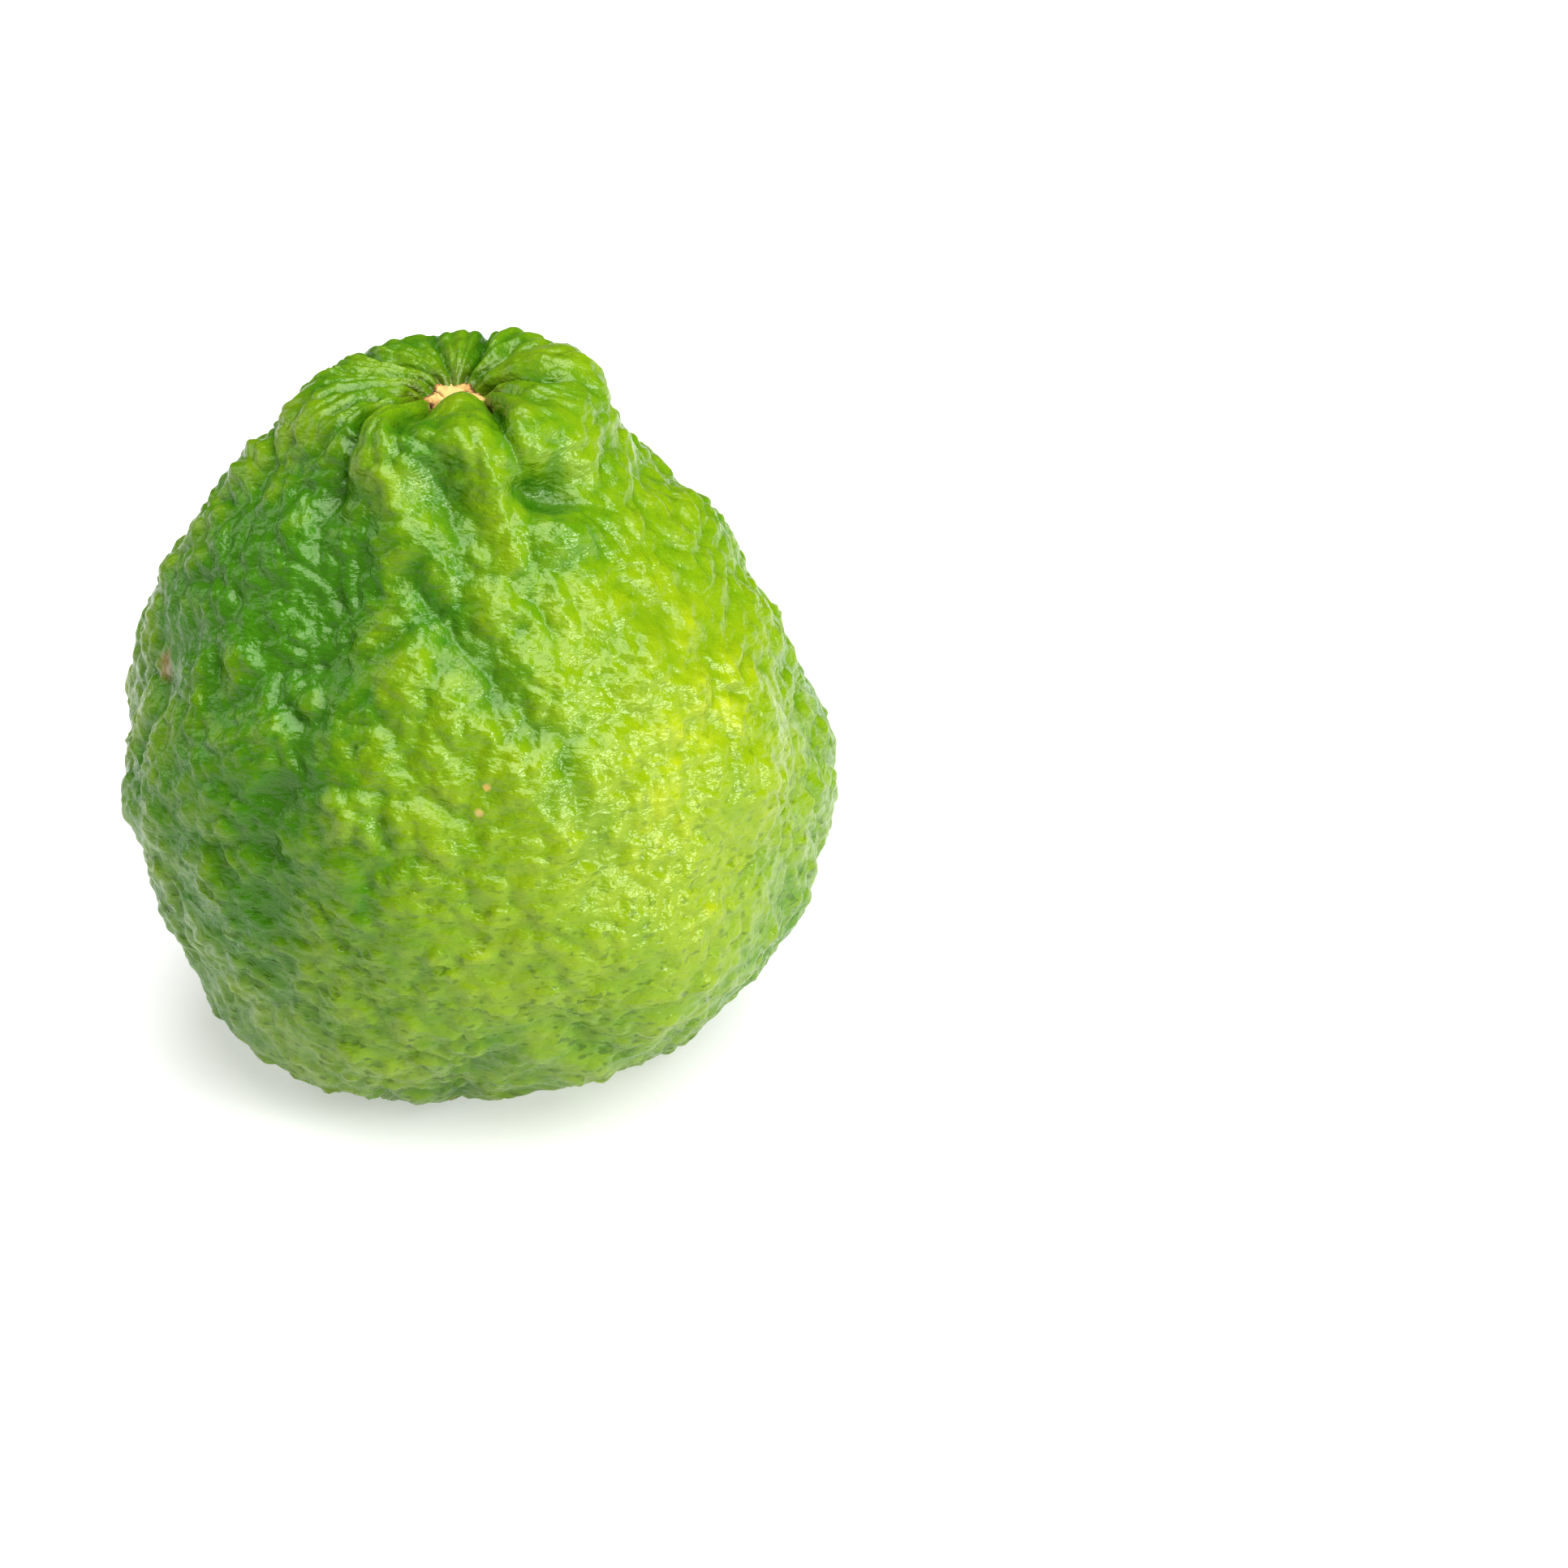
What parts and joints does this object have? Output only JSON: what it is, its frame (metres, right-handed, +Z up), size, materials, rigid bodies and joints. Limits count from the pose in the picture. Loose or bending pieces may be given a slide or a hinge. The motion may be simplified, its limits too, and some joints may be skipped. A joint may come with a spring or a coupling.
{
  "type": "makrut lime",
  "caption": "Whole pear-shaped makrut lime with a bumpy rind, a lobed neck round a small crater, and the dry end of its stalk.",
  "frame": {"origin": "middle of the small flat spot under the fruit, on the surface that it rests on", "axes": "+Z up through the neck and the stalk's end; the side with the long furrow and the neck's pit faces -Y"},
  "size_m": [0.0651, 0.0661, 0.069],
  "materials": {
    "citrus_rind": "waxy rind, satin",
    "dry_stalk_wood": "dry cut wood, matt"
  },
  "bodies": {
    "root": {"fruit": "citrus_rind", "stalk_end": "dry_stalk_wood"}
  },
  "joints": []
}
